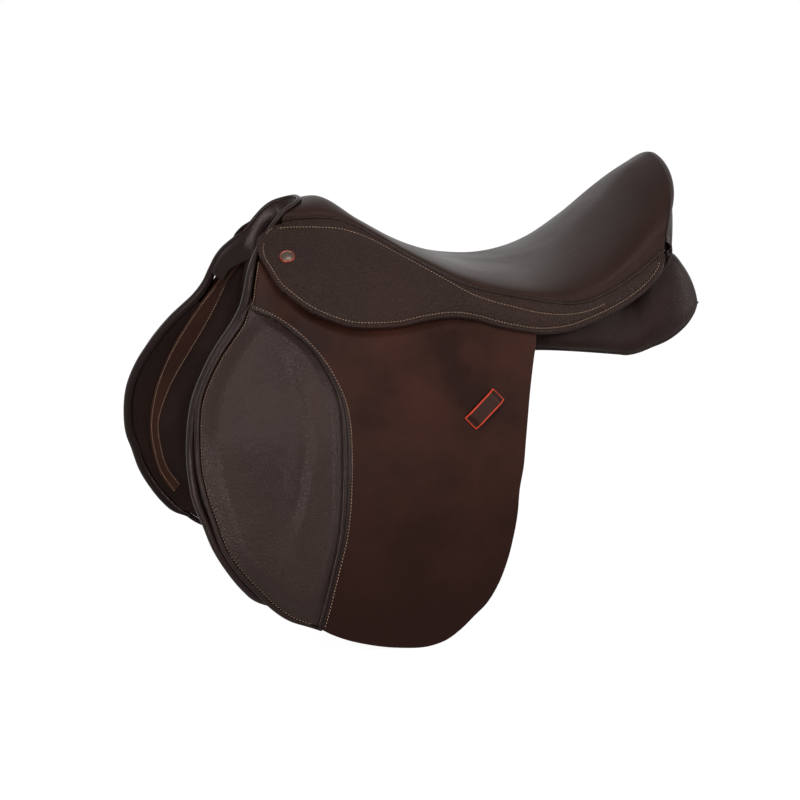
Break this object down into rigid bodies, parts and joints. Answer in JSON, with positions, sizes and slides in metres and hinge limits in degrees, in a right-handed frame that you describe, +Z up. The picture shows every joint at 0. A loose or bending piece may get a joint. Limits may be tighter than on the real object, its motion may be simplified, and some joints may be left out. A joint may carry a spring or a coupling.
{
  "type": "english saddle",
  "caption": "Leather English general-purpose riding saddle with padded knee flaps, recessed stirrup bars, girth straps and a flocked panel.",
  "frame": {"origin": "on the centre plane, under the seat's lowest stretch, at the level on which the panel's bearing faces rest", "axes": "+X towards the cantle, +Y to the off (right) side, +Z up"},
  "size_m": [0.5813, 0.4254, 0.4835],
  "materials": {
    "roll_leather": "glossy, for rolls, welts and facings",
    "flap_leather": "smooth bridle leather",
    "strap_leather": "smooth",
    "keeper_leather": "smooth, red edges",
    "pad_leather": "soft, finely grained",
    "panel_leather": "soft",
    "nail_copper": "dull copper-coloured",
    "seat_foam": "foam",
    "seat_leather": "smooth, soft sheen",
    "webbing": "woven",
    "skirt_leather": "pebble grain",
    "steel": "polished",
    "sweat_leather": "smooth",
    "tree_laminate": "moulded laminate"
  },
  "bodies": {
    "saddle": {"cantle_bead": "roll_leather", "cantle_facing": "roll_leather", "catch_pin_near": "steel", "catch_pin_off": "steel", "flap_head_near": "flap_leather", "flap_head_off": "flap_leather", "girth_web_front": "webbing", "girth_web_rear": "webbing", "gullet_strip": "panel_leather", "knee_pad_head_near": "pad_leather", "knee_pad_head_off": "pad_leather", "panel_cushion_near": "panel_leather", "panel_cushion_off": "panel_leather", "panel_knee_near": "panel_leather", "panel_knee_off": "panel_leather", "pommel_facing": "roll_leather", "pommel_roll": "roll_leather", "saddle_nail_near": "nail_copper", "saddle_nail_off": "nail_copper", "seat_foam": "seat_foam", "seat_leather": "seat_leather", "seat_webbing": "webbing", "skirt_band_near": "skirt_leather", "skirt_band_off": "skirt_leather", "stirrup_bar_near": "steel", "stirrup_bar_off": "steel", "sweat_flap_near": "sweat_leather", "sweat_flap_off": "sweat_leather", "sweat_flap_roll_near": "roll_leather", "sweat_flap_roll_off": "roll_leather", "tree": "tree_laminate", "welt_near": "roll_leather", "welt_off": "roll_leather"},
    "flap_near_body": {"flap_near": "flap_leather", "knee_pad_near": "pad_leather", "flap_piping_near": "roll_leather", "keeper_near": "keeper_leather"},
    "skirt_near_body": {"skirt_lobe_near": "skirt_leather"},
    "straps_near_body": {"girth_strap_front_near": "strap_leather", "girth_strap_middle_near": "strap_leather", "girth_strap_rear_near": "strap_leather"},
    "guard_near_body": {"buckle_guard_near": "strap_leather"},
    "catch_near_body": {"bar_catch_near": "steel"},
    "flap_off_body": {"flap_off": "flap_leather", "knee_pad_off": "pad_leather", "flap_piping_off": "roll_leather", "keeper_off": "keeper_leather"},
    "skirt_off_body": {"skirt_lobe_off": "skirt_leather"},
    "straps_off_body": {"girth_strap_front_off": "strap_leather", "girth_strap_middle_off": "strap_leather", "girth_strap_rear_off": "strap_leather"},
    "guard_off_body": {"buckle_guard_off": "strap_leather"},
    "catch_off_body": {"bar_catch_off": "steel"}
  },
  "joints": [
    {"name": "flap_near_lift", "type": "hinge", "parent": "saddle", "child": "flap_near_body", "pos_m": [-0.2612, -0.10895, 0.056], "axis": [-0.983, 0.1698, 0.07], "range_deg": [0, 70]},
    {"name": "skirt_near_lift", "type": "hinge", "parent": "saddle", "child": "skirt_near_body", "pos_m": [-0.2269, -0.07772, 0.1144], "axis": [-0.9103, 0.3248, 0.2567], "range_deg": [0, 60]},
    {"name": "straps_near_swing", "type": "hinge", "parent": "saddle", "child": "straps_near_body", "pos_m": [-0.03281, -0.12411, 0.04124], "axis": [-0.0947, -0.9553, 0.2801], "range_deg": [-4, 4]},
    {"name": "guard_near_slide", "type": "slide", "parent": "straps_near_body", "child": "guard_near_body", "axis": [-0.0276, -0.2787, -0.96], "range_m": [0, 0.08]},
    {"name": "catch_near_turn", "type": "hinge", "parent": "saddle", "child": "catch_near_body", "pos_m": [-0.08924, -0.10963, 0.0767], "axis": [-0.1467, -0.8479, 0.5095], "range_deg": [0, 80]},
    {"name": "flap_off_lift", "type": "hinge", "parent": "saddle", "child": "flap_off_body", "pos_m": [-0.2612, 0.10895, 0.056], "axis": [0.983, 0.1698, -0.07], "range_deg": [0, 70]},
    {"name": "skirt_off_lift", "type": "hinge", "parent": "saddle", "child": "skirt_off_body", "pos_m": [-0.2269, 0.07772, 0.1144], "axis": [0.9103, 0.3248, -0.2567], "range_deg": [0, 60]},
    {"name": "straps_off_swing", "type": "hinge", "parent": "saddle", "child": "straps_off_body", "pos_m": [-0.03281, 0.12411, 0.04124], "axis": [0.0947, -0.9553, -0.2801], "range_deg": [-4, 4]},
    {"name": "guard_off_slide", "type": "slide", "parent": "straps_off_body", "child": "guard_off_body", "axis": [-0.0276, 0.2787, -0.96], "range_m": [0, 0.08]},
    {"name": "catch_off_turn", "type": "hinge", "parent": "saddle", "child": "catch_off_body", "pos_m": [-0.08924, 0.10963, 0.0767], "axis": [0.1467, -0.8479, -0.5095], "range_deg": [0, 80]}
  ]
}
